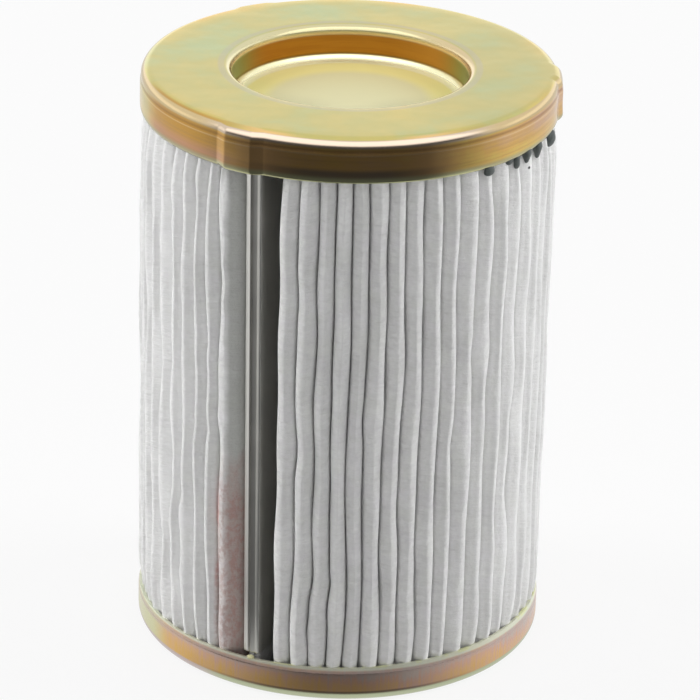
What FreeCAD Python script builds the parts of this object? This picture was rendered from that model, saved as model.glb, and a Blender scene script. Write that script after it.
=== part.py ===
"""Hydraulic filter cartridge: a pleated fleece pack between two pressed steel end caps.

The top cap is closed and dished, and has three centring lugs on its skirt. The bottom cap
is open, and its turned-in collar holds a rubber seal for the housing's outlet spigot. A
perforated core tube stands between the caps and carries the pleats, whose two free ends
are gripped by a folded steel seam clip. Lengths are millimetres and angles are degrees.
The origin is on the cartridge's axis, in the plane it stands on, and +Z is up the axis.
"""

import FreeCAD
import Part

import math
import os

Vector = FreeCAD.Vector
AXIS = Vector(0, 0, 1)
ORIGIN = Vector(0, 0, 0)
LEFT = 1
RIGHT = -1

# Whole cartridge
ELEMENT_HEIGHT = 174.0
SKIRT_RADIUS = 60.0
CAP_SHEET = 1.0
FIT_GAP = 0.05

# Top cap
TOP_SKIRT_DEPTH = 13.0
TOP_CORNER_RADIUS = 3.0
NECK_INSET = 0.25
NECK_STRAIGHT = 0.4
NECK_HOLLOW_RADIUS = 2.0
NECK_CREST_RADIUS = 3.0
NECK_EASE = 1.1
CURL_RADIUS = 2.0
CURL_ANGLE = 35.0
CURL_EDGE = 0.3
RECESS_RADIUS = 34.0
RECESS_DEPTH = 10.6
RECESS_RIM_RADIUS = 2.1
RECESS_FLOOR_RADIUS = 2.5
LUG_COUNT = 3
LUG_HEIGHT = 1.0
LUG_BASE_HALF_ANGLE = 7.0
LUG_CREST_HALF_ANGLE = 4.0
LUG_DIRECTION = -120.1

# Bottom cap
BOTTOM_SKIRT_HEIGHT = 11.0
BOTTOM_CORNER_RADIUS = 3.0
LIP_HEIGHT = 2.2
LIP_INSET = 0.35
LIP_BEND_RADIUS = 2.0
COLLAR_RADIUS = 28.0
COLLAR_HEIGHT = 9.0
COLLAR_BEND_RADIUS = 2.0

# Seal in the collar
SEAL_BORE_RADIUS = 25.0
SEAL_OUTER_LEG = 2.0
SEAL_OUTER_LEG_LENGTH = 4.5
SEAL_TOP = 2.5
SEAL_FOOT_GAP = 0.4
SEAL_LEAD_IN = 0.9
SEAL_EDGE_RADIUS = 0.8

# Core tube
CORE_CLEARANCE = 0.3
CORE_SHEET = 0.8
CORE_SEAM_WIDTH = 6.0
CORE_SEAM_HEIGHT = 1.2
CORE_HOLE_RADIUS = 4.0
CORE_HOLE_COLUMNS = 12
CORE_ROW_PITCH = 15.0
CORE_PLAIN_END = 12.0

# Potting compound
BOND_THICKNESS = 3.5

# Pleat pack
MEDIA_THICKNESS = 1.5
ROOT_GAP = 0.3
PACK_TO_CORE = 0.4
PACK_TO_LIP = 0.25
TIP_GAP = 0.45
TIP_WANDER = 0.35
TIP_WANDER_STEP = 137.5
SEAM_DIRECTION = -116.9
SEAM_CLOSE_SIDE = 3.2
SEAM_OPEN_SIDE = 7.7
FLAP_GAP = 0.2

# Seam clip
CLIP_SHEET = 0.5
CLIP_TO_ROOT = 4.85
CLIP_NOSE_INSET = 0.2
CLIP_WIDE_RIDGE = 0.9
CLIP_NARROW_RIDGE = 0.7
CLIP_NARROW_DROP = 0.2
CLIP_GROOVE_DEPTH = 0.6
CLIP_GROOVE_RADIUS = 0.25
CLIP_ABOVE_LIP = 1.0
CLIP_UNDER_BOND = 3.0
CLIP_END_RADIUS = 1.5
FLAP_TO_CLIP = 0.3

# Sizes that follow from the ones above
TOP_INSIDE = ELEMENT_HEIGHT - CAP_SHEET
CORE_BORE = RECESS_RADIUS + CAP_SHEET + CORE_CLEARANCE + CORE_SEAM_HEIGHT
CORE_RADIUS = CORE_BORE + CORE_SHEET
CORE_TOP = ELEMENT_HEIGHT - max(CAP_SHEET, RECESS_RIM_RADIUS) - CORE_CLEARANCE
ROOT_BEND = ROOT_GAP / 2
ROOT_CIRCLE = CORE_RADIUS + PACK_TO_CORE + MEDIA_THICKNESS + ROOT_BEND
PACK_BOTTOM = CAP_SHEET + BOND_THICKNESS
PACK_TOP = TOP_INSIDE - BOND_THICKNESS
CURL = math.radians(CURL_ANGLE)
CURL_REACH = CURL_RADIUS * (1 - math.cos(CURL)) + CURL_EDGE * math.sin(CURL)
CURL_INSIDE = SKIRT_RADIUS - CURL_REACH - CAP_SHEET * math.cos(CURL)
LIP_INSIDE = SKIRT_RADIUS - LIP_INSET - CAP_SHEET
PACK_RADIUS = min(CURL_INSIDE, LIP_INSIDE) - PACK_TO_LIP
CLIP_NOSE = PACK_RADIUS - CLIP_NOSE_INSET
CLIP_GROOVE = CLIP_NOSE - CLIP_NARROW_DROP - CLIP_GROOVE_DEPTH
FLAP_END = CLIP_GROOVE - CLIP_SHEET - FLAP_TO_CLIP


def on_circle(centre, radius, angle):
    """The point at this angle, in radians, on a circle in the plane."""
    return (centre[0] + radius * math.cos(angle), centre[1] + radius * math.sin(angle))


def tangent_run(first, second):
    """Direction of the straight run that leaves one bend and meets the next."""
    dx, dy = second[0] - first[0], second[1] - first[1]
    offset = second[3] * second[2] - first[3] * first[2]
    return math.atan2(dy, dx) - math.asin(offset / math.hypot(dx, dy))


def touch_point(bend, direction):
    """Where a run in this direction touches the bend."""
    return on_circle(bend[:2], bend[3] * bend[2], direction - math.pi / 2)


def side_edges(bends, shift, to_space):
    """Lines and arcs of a sheet's face, moved sideways to the left of its path by shift."""
    moved = [(x, y, radius - turn * shift, turn) for x, y, radius, turn in bends]
    moved[0] = (*moved[0][:2], -shift, LEFT)
    moved[-1] = (*moved[-1][:2], -shift, LEFT)
    runs = [tangent_run(a, b) for a, b in zip(moved, moved[1:])]
    edges = []
    for index, run in enumerate(runs):
        start = touch_point(moved[index], run)
        end = touch_point(moved[index + 1], run)
        if math.dist(start, end) > 1e-6:
            edges.append(Part.makeLine(to_space(start), to_space(end)))
        if index + 1 < len(runs):
            bend, leaving = moved[index + 1], runs[index + 1]
            swing = (leaving - run) % (2 * math.pi)
            if bend[3] == RIGHT:
                swing -= 2 * math.pi
            middle = touch_point(bend, run + swing / 2)
            last = touch_point(bend, leaving)
            edges.append(Part.Arc(to_space(end), to_space(middle), to_space(last)).toShape())
    return edges


def bent_sheet(bends, thickness, to_space):
    """Face of a sheet whose visible side runs round the bends, each (x, y, radius, turn).

    The first and last stations are the sheet's edges, and the sheet lies to the right.
    """
    near = side_edges(bends, 0.0, to_space)
    far = side_edges(bends, -thickness, to_space)
    ends = []
    for end in (0, -1):
        near_corner = near[end].Vertexes[end].Point
        far_corner = far[end].Vertexes[end].Point
        ends.append(Part.makeLine(near_corner, far_corner))
    return Part.Face(Part.Wire(Part.__sortEdges__(near + far + ends)))


def in_section(point):
    """A (radius, height) point, in the half plane that is turned about the axis."""
    return Vector(point[0], 0, point[1])


def in_plan(point):
    """A point of a plan section."""
    return Vector(point[0], point[1], 0)


def turned(face, angle=360.0):
    """Solid made by turning a section about the cartridge's axis."""
    return face.revolve(ORIGIN, AXIS, angle)


def polygon_section(points):
    """Face through (radius, height) points."""
    return Part.Face(Part.makePolygon([in_section(p) for p in points + points[:1]]))


def about_axis(shape, angle):
    """A copy of the shape, turned about the cartridge's axis."""
    copy = shape.copy()
    copy.rotate(ORIGIN, AXIS, angle)
    return copy


def ring(inner, outer, low, high, angle=360.0):
    """Plain ring about the axis, or a sector of one."""
    section = polygon_section([(inner, low), (outer, low), (outer, high), (inner, high)])
    return turned(section, angle)


def skirt_bends(reach):
    """Bends of the top cap's corner, neck and skirt, moved out by reach."""
    neck = SKIRT_RADIUS - NECK_INSET + reach
    wall = SKIRT_RADIUS + reach
    radii = NECK_HOLLOW_RADIUS + NECK_CREST_RADIUS
    step = NECK_EASE * math.sqrt(NECK_INSET * (2 * radii - NECK_INSET))
    hollow_height = ELEMENT_HEIGHT - TOP_CORNER_RADIUS - NECK_STRAIGHT
    curl_drop = CURL_RADIUS * math.sin(CURL) + CURL_EDGE * math.cos(CURL)
    curl_centre = (wall - CURL_RADIUS, ELEMENT_HEIGHT - TOP_SKIRT_DEPTH + curl_drop)
    edge = (wall - CURL_REACH, ELEMENT_HEIGHT - TOP_SKIRT_DEPTH)
    return [
        (neck - TOP_CORNER_RADIUS, ELEMENT_HEIGHT - TOP_CORNER_RADIUS, TOP_CORNER_RADIUS, RIGHT),
        (neck + NECK_HOLLOW_RADIUS, hollow_height, NECK_HOLLOW_RADIUS, LEFT),
        (wall - NECK_CREST_RADIUS, hollow_height - step, NECK_CREST_RADIUS, RIGHT),
        (*curl_centre, CURL_RADIUS, RIGHT),
        (*edge, 0.0, LEFT),
    ]


def make_top_cap():
    """Closed cap: a dished round plate with a turned-down skirt and three embossed lugs."""
    rim = (RECESS_RADIUS + RECESS_RIM_RADIUS, ELEMENT_HEIGHT - RECESS_RIM_RADIUS)
    floor_height = ELEMENT_HEIGHT - RECESS_DEPTH
    floor_bend = (RECESS_RADIUS - RECESS_FLOOR_RADIUS, floor_height + RECESS_FLOOR_RADIUS)
    dish = [
        (0.0, floor_height, 0.0, LEFT),
        (*floor_bend, RECESS_FLOOR_RADIUS, LEFT),
        (*rim, RECESS_RIM_RADIUS, RIGHT),
    ]
    cap = turned(bent_sheet(dish + skirt_bends(0.0), CAP_SHEET, in_section))
    shoulder = SKIRT_RADIUS - NECK_INSET - 2 * TOP_CORNER_RADIUS
    flat = [(shoulder, ELEMENT_HEIGHT, 0.0, LEFT)]
    plain = bent_sheet(flat + skirt_bends(0.0), CAP_SHEET, in_section)
    raised = bent_sheet(flat + skirt_bends(LUG_HEIGHT), CAP_SHEET, in_section)
    base, crest = LUG_BASE_HALF_ANGLE, LUG_CREST_HALF_ANGLE
    for index in range(LUG_COUNT):
        middle = LUG_DIRECTION + index * 360.0 / LUG_COUNT
        window = ring(shoulder + TOP_CORNER_RADIUS, 2 * SKIRT_RADIUS, 0.0, 2 * ELEMENT_HEIGHT, 2 * base)
        cap = cap.cut(about_axis(window, middle - base))
        cap = cap.fuse([
            about_axis(lug_ramp(plain, raised, crest - base), middle - crest),
            about_axis(turned(raised, 2 * crest), middle - crest),
            about_axis(lug_ramp(plain, raised, base - crest), middle + crest),
        ])
    return cap.removeSplitter()


def lug_ramp(plain, raised, angle):
    """Side of a lug: the skirt's section run out to the lug's section over this angle."""
    far = about_axis(plain, angle)
    return Part.makeLoft([raised.OuterWire, far.OuterWire], True, True)


def make_bottom_cap():
    """Open cap: a shallow pan with a crimped lip and a collar turned in round its hole."""
    lip = (SKIRT_RADIUS - LIP_INSET, BOTTOM_SKIRT_HEIGHT)
    corner = (SKIRT_RADIUS - BOTTOM_CORNER_RADIUS, BOTTOM_CORNER_RADIUS)
    bends = [
        (*lip, 0.0, LEFT),
        (SKIRT_RADIUS - LIP_BEND_RADIUS, BOTTOM_SKIRT_HEIGHT - LIP_HEIGHT, LIP_BEND_RADIUS, RIGHT),
        (*corner, BOTTOM_CORNER_RADIUS, RIGHT),
        (COLLAR_RADIUS + COLLAR_BEND_RADIUS, COLLAR_BEND_RADIUS, COLLAR_BEND_RADIUS, RIGHT),
        (COLLAR_RADIUS, COLLAR_HEIGHT, 0.0, LEFT),
    ]
    return turned(bent_sheet(bends, CAP_SHEET, in_section))


def make_seal():
    """Rubber ring with a slot that grips the collar's edge and a plain bore for the spigot."""
    foot = COLLAR_BEND_RADIUS + SEAL_FOOT_GAP
    collar_outside = COLLAR_RADIUS + CAP_SHEET
    outer = collar_outside + SEAL_OUTER_LEG
    top = COLLAR_HEIGHT + SEAL_TOP
    section = polygon_section([
        (SEAL_BORE_RADIUS + SEAL_LEAD_IN, foot),
        (COLLAR_RADIUS, foot),
        (COLLAR_RADIUS, COLLAR_HEIGHT),
        (collar_outside, COLLAR_HEIGHT),
        (collar_outside, COLLAR_HEIGHT - SEAL_OUTER_LEG_LENGTH),
        (outer, COLLAR_HEIGHT - SEAL_OUTER_LEG_LENGTH),
        (outer, top),
        (SEAL_BORE_RADIUS, top),
        (SEAL_BORE_RADIUS, foot + SEAL_LEAD_IN),
    ])
    seal = turned(section)
    top_edges = [edge for edge in seal.Edges if edge.BoundBox.ZMin > top - FIT_GAP]
    return seal.makeFillet(SEAL_EDGE_RADIUS, top_edges)


def make_core_tube():
    """Rolled steel tube with a lock seam inside and staggered rows of round holes."""
    tube = ring(CORE_BORE, CORE_RADIUS, CAP_SHEET, CORE_TOP)
    seam_angle = math.degrees(CORE_SEAM_WIDTH / CORE_BORE)
    seam_inside = CORE_BORE - CORE_SEAM_HEIGHT
    fold = ring(seam_inside, CORE_BORE + CORE_SHEET / 2, CAP_SHEET, CORE_TOP, seam_angle)
    tube = tube.fuse(about_axis(fold, -seam_angle / 2))
    column = 360.0 / CORE_HOLE_COLUMNS
    first_row = CAP_SHEET + CORE_PLAIN_END
    room = CORE_TOP - CORE_PLAIN_END - first_row
    rows = int(room / CORE_ROW_PITCH) + 1
    first_row += (room - (rows - 1) * CORE_ROW_PITCH) / 2
    punches = []
    for row in range(rows):
        height = first_row + row * CORE_ROW_PITCH
        start = Vector(seam_inside, 0, height)
        punch = Part.makeCylinder(CORE_HOLE_RADIUS, 2 * CORE_SHEET + CORE_SEAM_HEIGHT, start, Vector(1, 0, 0))
        for step in range(CORE_HOLE_COLUMNS):
            angle = (step + 0.5 * (row % 2)) * column
            if min(angle, 360.0 - angle) > column / 4:
                punches.append(about_axis(punch, angle))
    return about_axis(tube.cut(punches).removeSplitter(), SEAM_DIRECTION)


def make_bond(corner, outer):
    """Ring of set potting compound on a cap's inner face, at the origin and facing up."""
    inner = CORE_RADIUS + FIT_GAP
    foot = in_section((outer - corner, 0.0))
    side = in_section((outer, corner))
    middle = in_section(on_circle((outer - corner, corner), corner, -math.pi / 4))
    rim = in_section((outer, BOND_THICKNESS))
    back = in_section((inner, BOND_THICKNESS))
    start = in_section((inner, 0.0))
    edges = [Part.Arc(foot, middle, side).toShape()]
    for first, second in ((side, rim), (rim, back), (back, start), (start, foot)):
        edges.append(Part.makeLine(first, second))
    return turned(Part.Face(Part.Wire(edges)))


def make_bottom_bond():
    """Compound that holds the pack in the bottom cap."""
    inside = SKIRT_RADIUS - CAP_SHEET - FIT_GAP
    bond = make_bond(BOTTOM_CORNER_RADIUS - CAP_SHEET, inside)
    bond.translate(Vector(0, 0, CAP_SHEET))
    return bond


def make_top_bond():
    """Compound that holds the pack in the top cap, upside down."""
    inside = SKIRT_RADIUS - NECK_INSET - CAP_SHEET - FIT_GAP
    bond = make_bond(TOP_CORNER_RADIUS - CAP_SHEET, inside)
    bond.rotate(ORIGIN, Vector(1, 0, 0), 180)
    bond.translate(Vector(0, 0, TOP_INSIDE))
    return bond


def pleat_bends():
    """Bends of the fleece's outer face, seen from above, with the seam on the +Y side.

    There are as many pleats as the core has room for, and they fill the pack's outside.
    """
    first = math.radians(SEAM_CLOSE_SIDE)
    span = math.radians(360.0 - SEAM_OPEN_SIDE) - first
    tips = int(ROOT_CIRCLE * span / (2 * (MEDIA_THICKNESS + ROOT_GAP)))
    valleys = [first + i * span / tips for i in range(tips + 1)]
    borders = []
    for i, valley in enumerate(valleys):
        wander = TIP_WANDER * math.sin(math.radians(i * TIP_WANDER_STEP))
        borders.append(valley + wander / PACK_RADIUS)
    flap = FLAP_GAP / 2 + MEDIA_THICKNESS
    bends = [
        (flap, FLAP_END, 0.0, LEFT),
        (flap + ROOT_BEND, ROOT_CIRCLE, ROOT_BEND, LEFT),
    ]
    for i in range(tips):
        low, high = borders[i], borders[i + 1]
        width = high - low
        tip = (PACK_RADIUS * width - TIP_GAP) / (2 + width)
        middle = math.pi / 2 - (low + high) / 2
        crest = on_circle((0, 0), PACK_RADIUS - tip, middle)
        bends.append((*crest, tip, RIGHT))
        if i + 1 < tips:
            valley = on_circle((0, 0), ROOT_CIRCLE, math.pi / 2 - valleys[i + 1])
            bends.append((*valley, ROOT_BEND, LEFT))
    bends.append((-flap - ROOT_BEND, ROOT_CIRCLE, ROOT_BEND, LEFT))
    bends.append((-flap, FLAP_END, 0.0, LEFT))
    return bends


def make_pleat_pack():
    """Folded fleece: one long strip, pleated and closed to a ring at the seam."""
    face = bent_sheet(pleat_bends(), MEDIA_THICKNESS, in_plan)
    pack = face.extrude(Vector(0, 0, PACK_TOP - PACK_BOTTOM))
    pack.translate(Vector(0, 0, PACK_BOTTOM))
    return about_axis(pack, SEAM_DIRECTION - 90.0)


def make_seam_clip():
    """Channel folded from strip, pushed over the two ends of the fleece from outside."""
    half = FLAP_GAP / 2 + MEDIA_THICKNESS + FIT_GAP + CLIP_SHEET
    legs_end = ROOT_CIRCLE + CLIP_TO_ROOT
    wide, narrow, groove = CLIP_WIDE_RIDGE, CLIP_NARROW_RIDGE, CLIP_GROOVE_RADIUS
    bends = [
        (-half, legs_end, 0.0, LEFT),
        (-half + narrow, CLIP_NOSE - CLIP_NARROW_DROP - narrow, narrow, RIGHT),
        (-half + 2 * narrow + groove, CLIP_GROOVE + groove, groove, LEFT),
        (half - 2 * wide - groove, CLIP_GROOVE + groove, groove, LEFT),
        (half - wide, CLIP_NOSE - wide, wide, RIGHT),
        (half, legs_end, 0.0, LEFT),
    ]
    low = BOTTOM_SKIRT_HEIGHT + CLIP_ABOVE_LIP
    high = PACK_TOP - CLIP_UNDER_BOND
    clip = bent_sheet(bends, CLIP_SHEET, in_plan).extrude(Vector(0, 0, high - low))
    clip.translate(Vector(0, 0, low))
    clip = clip.cut([nose_corner(low, 1, half), nose_corner(high, -1, half)])
    return about_axis(clip, SEAM_DIRECTION - 90.0)


def nose_corner(end, inward, half):
    """What is trimmed off the clip's nose to round it at one end."""
    radius = CLIP_END_RADIUS
    block = Part.makeBox(4 * half, 2 * radius, 2 * radius)
    block.translate(Vector(-2 * half, CLIP_NOSE - radius, end - radius))
    centre = Vector(-2 * half, CLIP_NOSE - radius, end + inward * radius)
    return block.cut(Part.makeCylinder(radius, 4 * half, centre, Vector(1, 0, 0)))


def main():
    os.makedirs("parts", exist_ok=True)
    makers = {
        "top_cap": make_top_cap,
        "bottom_cap": make_bottom_cap,
        "seal_ring": make_seal,
        "core_tube": make_core_tube,
        "top_bond": make_top_bond,
        "bottom_bond": make_bottom_bond,
        "pleat_pack": make_pleat_pack,
        "seam_clip": make_seam_clip,
    }
    for node, make in makers.items():
        shape = make()
        shape.exportStep(os.path.join("parts", node + ".step"))
        print(node, "solids", len(shape.Solids), "valid", shape.isValid(),
              "volume", round(shape.Volume, 1))


main()
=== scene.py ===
"""Looks of a hydraulic filter cartridge: chromated steel caps on a pack of fleece pleats.

Lengths are written in millimetres and turned to metres where a mesh is made. An angle
called bearing is counted in degrees from the front of the cartridge (-Y), and is positive
towards +X. The cartridge stands on the floor with its axis on Z.
"""

import math

import bmesh
import bpy
import numpy as np
from mathutils import Matrix, Vector


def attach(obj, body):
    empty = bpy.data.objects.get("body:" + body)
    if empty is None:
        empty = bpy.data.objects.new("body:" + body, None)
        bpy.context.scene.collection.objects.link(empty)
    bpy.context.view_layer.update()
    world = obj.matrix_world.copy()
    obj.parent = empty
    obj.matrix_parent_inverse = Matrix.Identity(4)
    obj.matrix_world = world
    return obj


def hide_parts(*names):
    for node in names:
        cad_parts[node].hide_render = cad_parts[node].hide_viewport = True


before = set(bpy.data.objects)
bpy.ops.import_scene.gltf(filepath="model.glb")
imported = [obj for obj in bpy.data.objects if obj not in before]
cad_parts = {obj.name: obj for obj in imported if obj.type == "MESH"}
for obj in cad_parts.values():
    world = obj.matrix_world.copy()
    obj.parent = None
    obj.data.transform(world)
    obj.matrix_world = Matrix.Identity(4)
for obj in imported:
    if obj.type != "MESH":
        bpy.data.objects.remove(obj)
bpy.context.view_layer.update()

MM = 0.001
SEED = 20

# Camera, as it stood for the photograph
CAMERA_DISTANCE = 1200.0
CAMERA_TILT = 23.87
CAMERA_AIM_HEIGHT = 85.0
CAMERA_ROLL = 1.4306
CAMERA_YAW = 0.0929
FOCAL_PIXELS = 4077.5
FRAME_PIXELS = 700.0
SENSOR_WIDTH = 36.0

# Caps
HEIGHT = 174.0
SKIRT_RADIUS = 60.0
SHEET = 1.0
TOP_SKIRT = 13.0
TOP_CORNER = 3.0
NECK_INSET = 0.25
NECK_STRAIGHT = 0.4
NECK_HOLLOW = 2.0
NECK_CREST = 3.0
NECK_EASE = 1.1
CURL_RADIUS = 2.0
CURL_ANGLE = math.radians(35.0)
CURL_EDGE = 0.3
RECESS_RADIUS = 34.0
RECESS_DEPTH = 10.6
RECESS_RIM = 2.1
RECESS_FLOOR = 2.5
LUG_BEARINGS = (-30.1, 89.9, 209.9)
LUG_HEIGHT = 1.0
LUG_BASE = 7.0
LUG_CREST = 4.0
BOTTOM_SKIRT = 11.0
BOTTOM_CORNER = 3.0
LIP_HEIGHT = 2.2
LIP_INSET = 0.35
LIP_BEND = 2.0
COLLAR_RADIUS = 28.0
COLLAR_HEIGHT = 9.0
COLLAR_BEND = 2.0

# Pleats
PLEATS = 66
PACK_LOW = 4.5
PACK_HIGH = 169.5
PACK_END_RADIUS = 58.2
PACK_BULGE = 1.3
ROOT_RADIUS = 39.2
FLEECE = 1.5
SPECK_BEARING = 59.0
SPECK_HEIGHT = 155.8
EDGE_BEND = 1.7
SEAM_BEARING = -25.5
SEAM_LEAN = 1.5
CLOSE_BORDER = -29.1
OPEN_BORDER = -18.5
WIDE_PLEAT = 7.6
WIDTH_SHARES = (0.82, 1.20)
NEAR_GAP = 0.34
FAR_GAP = 0.22
GAP_LIMITS = (0.04, 0.6)
CROWN = 0.42
PACK_ROWS = 94
SHINGLE = 0.6
TURN_OVER = 8.0
TURN_OVER_WIDTH = 28.0
LEAN_SPREAD = 10
LOW_PINCH = 15.0
LOW_PINCH_START = 0.3
HIGH_PINCH = 16.0
HIGH_PINCH_START = 0.1
ROOT_HALF_GAP = 0.22
FREE_END = [(1.7, 56.0), (1.9, 48.0), (2.3, ROOT_RADIUS)]
INNER_ROWS = 5

# Seam clip
CLIP_SHEET = 0.3
CLIP_NOSE = 58.9
CLIP_LEGS_END = 44.2
CLIP_HALF = 2.6
CLIP_LOW = 12.0
CLIP_HIGH = 166.5
CLIP_BEND = 0.33
CLIP_WIDE_RIDGE = 2.1
CLIP_WIDE_SLANT = math.radians(27.0)
CLIP_NARROW_RIDGE = 1.3
CLIP_NARROW_SLANT = math.radians(11.0)
CLIP_GROOVE_DEPTH = 0.55
CLIP_GROOVE_BEND = 0.25
CLIP_END_ROUND = 0.8

LEFT = 1
RIGHT = -1


# Shader kit

class Wire:
    """A value that varies over a surface. Arithmetic on it adds Math nodes to its tree."""

    def __init__(self, paint, socket):
        self.paint = paint
        self.socket = socket

    def math(self, operation, *values, clamp=False):
        settings = {"operation": operation, "use_clamp": clamp}
        return self.paint.node("ShaderNodeMath", settings, dict(enumerate(values)))

    def __add__(self, other):
        return self.math("ADD", self, other)

    def __radd__(self, other):
        return self.math("ADD", other, self)

    def __sub__(self, other):
        return self.math("SUBTRACT", self, other)

    def __rsub__(self, other):
        return self.math("SUBTRACT", other, self)

    def __mul__(self, other):
        return self.math("MULTIPLY", self, other)

    def __rmul__(self, other):
        return self.math("MULTIPLY", other, self)

    def __pow__(self, other):
        return self.math("POWER", self, other)

    def __abs__(self):
        return self.math("ABSOLUTE", self)

    def clamped(self):
        return self.math("ADD", self, 0.0, clamp=True)


class Paint:
    """One node tree, with a single way to add a node and the fields that finishes share."""

    def __init__(self, tree):
        self.tree = tree

    def node(self, kind, settings=None, values=None, output=0):
        node = self.tree.nodes.new(kind)
        for name, value in (settings or {}).items():
            if name == "stops":
                self.set_stops(node.color_ramp, value)
            else:
                setattr(node, name, value)
        for name, value in (values or {}).items():
            self.feed(node.inputs[name], value)
        if output is None:
            return node
        return Wire(self, node.outputs[output])

    def set_stops(self, ramp, stops):
        while len(ramp.elements) < len(stops):
            ramp.elements.new(1.0)
        for element, (position, colour) in zip(ramp.elements, stops):
            element.position = position
            element.color = (*colour, 1.0)

    def feed(self, socket, value):
        if isinstance(value, Wire):
            self.tree.links.new(value.socket, socket)
        elif isinstance(value, tuple) and len(value) == 3 and len(socket.default_value) == 4:
            socket.default_value = (*value, 1.0)
        else:
            socket.default_value = value

    def place(self):
        """Position on the part in millimetres, as separate X, Y and Z."""
        here = self.node("ShaderNodeTexCoord", output="Object")
        scaled = self.node("ShaderNodeVectorMath", {"operation": "SCALE"}, {0: here, "Scale": 1 / MM})
        split = self.node("ShaderNodeSeparateXYZ", values={0: scaled}, output=None)
        return [Wire(self, split.outputs[axis]) for axis in range(3)]

    def vector(self, x, y, z):
        return self.node("ShaderNodeCombineXYZ", values={0: x, 1: y, 2: z})

    def turned(self, bearing, rate, height):
        """Noise coordinates that close up round the axis; rate is their change a radian."""
        across = bearing.math("SINE", bearing)
        along = bearing.math("COSINE", bearing)
        return self.vector(across * rate, along * rate, height)

    def noise(self, vector, scale=1.0, detail=3.0, roughness=0.5):
        values = {"Vector": vector, "Scale": scale, "Detail": detail, "Roughness": roughness}
        return self.node("ShaderNodeTexNoise", {"noise_dimensions": "3D"}, values, "Fac")

    def mix(self, factor, first, second):
        values = {"Factor": factor, 6: first, 7: second}
        return self.node("ShaderNodeMix", {"data_type": "RGBA"}, values, 2)

    def ramp(self, value, stops):
        return self.node("ShaderNodeValToRGB", {"stops": stops}, {0: value}, "Color")

    def step(self, value, low, high):
        """0 below low and 1 above high, eased between them; reversed where low is higher."""
        settings = {"interpolation_type": "SMOOTHSTEP"}
        if low < high:
            return self.node("ShaderNodeMapRange", settings, {0: value, 1: low, 2: high})
        return 1 - self.node("ShaderNodeMapRange", settings, {0: value, 1: high, 2: low})

    def band(self, value, low, high, edge):
        """1 from low to high and 0 elsewhere, eased by edge to either side of both."""
        return self.step(value, low - edge, low + edge) * self.step(value, high + edge, high - edge)

    def stretch(self, value, begin, full, fading, gone):
        """Rises from begin to full and falls again from fading to gone, in either direction."""
        return self.step(value, begin, full) * self.step(value, gone, fading)

    def bump(self, height, distance, normal=None):
        """A normal over a height field whose full range stands distance millimetres proud."""
        values = {"Height": height, "Distance": distance * MM}
        if normal:
            values["Normal"] = normal
        return self.node("ShaderNodeBump", values=values)


def new_finish(name):
    """A material with its Paint and its Principled shader node."""
    material = bpy.data.materials.new(name)
    material.use_nodes = True
    paint = Paint(material.node_tree)
    shader = material.node_tree.nodes["Principled BSDF"]
    return material, paint, shader


def around(x, y):
    """Radius and bearing fields, the bearing in radians."""
    radius = (x * x + y * y) ** 0.5
    return radius, x.math("ARCTAN2", x, 0 - y)


# Finishes

FILM = [
    (0.00, (0.50, 0.55, 0.27)),
    (0.20, (0.59, 0.53, 0.20)),
    (0.38, (0.66, 0.55, 0.19)),
    (0.55, (0.74, 0.54, 0.16)),
    (0.68, (0.74, 0.46, 0.15)),
    (0.80, (0.72, 0.46, 0.24)),
    (0.90, (0.67, 0.43, 0.33)),
    (1.00, (0.58, 0.48, 0.42)),
]


def chromate(name, film_of, dullness_of, streaks, tints_and_painted_light_of):
    """Yellow chromated steel whose film runs through its colours as its depth changes."""
    material, paint, shader = new_finish(name)
    x, y, z = paint.place()
    radius, bearing = around(x, y)
    here = paint.vector(x, y, z)
    cloud = paint.noise(here, 0.045, 3.0, 0.5) - 0.5
    fleck = paint.noise(here, 0.35, 4.0, 0.65) - 0.5
    drawn = paint.noise(paint.turned(bearing, SKIRT_RADIUS * 1.3, z * 0.05), 1.0, 5.0, 0.7) - 0.5
    film = film_of(paint, radius, bearing, z, cloud)
    film = film + fleck * 0.14 + drawn * streaks
    # Tints, and on the top cap painted shade and painted highlights as well.
    colour = tints_and_painted_light_of(paint, paint.ramp(film.clamped(), FILM), radius, bearing, z)
    paint.feed(shader.inputs["Base Color"], colour)
    metal, rough = dullness_of(paint, radius, z)
    haze = paint.noise(here, 0.12, 4.0, 0.6) - 0.5
    rough = rough + haze * 0.08 + abs(drawn) * 0.3 * streaks
    paint.feed(shader.inputs["Metallic"], metal)
    paint.feed(shader.inputs["Roughness"], rough)
    dents = paint.noise(here, 0.06, 2.0, 0.5)
    grain = paint.noise(here, 3.0, 3.0, 0.6)
    relief = paint.bump(dents, 0.18)
    relief = paint.bump(drawn, 0.05 * streaks, normal=relief)
    relief = paint.bump(grain, 0.006, normal=relief)
    paint.feed(shader.inputs["Normal"], relief)
    return material


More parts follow.
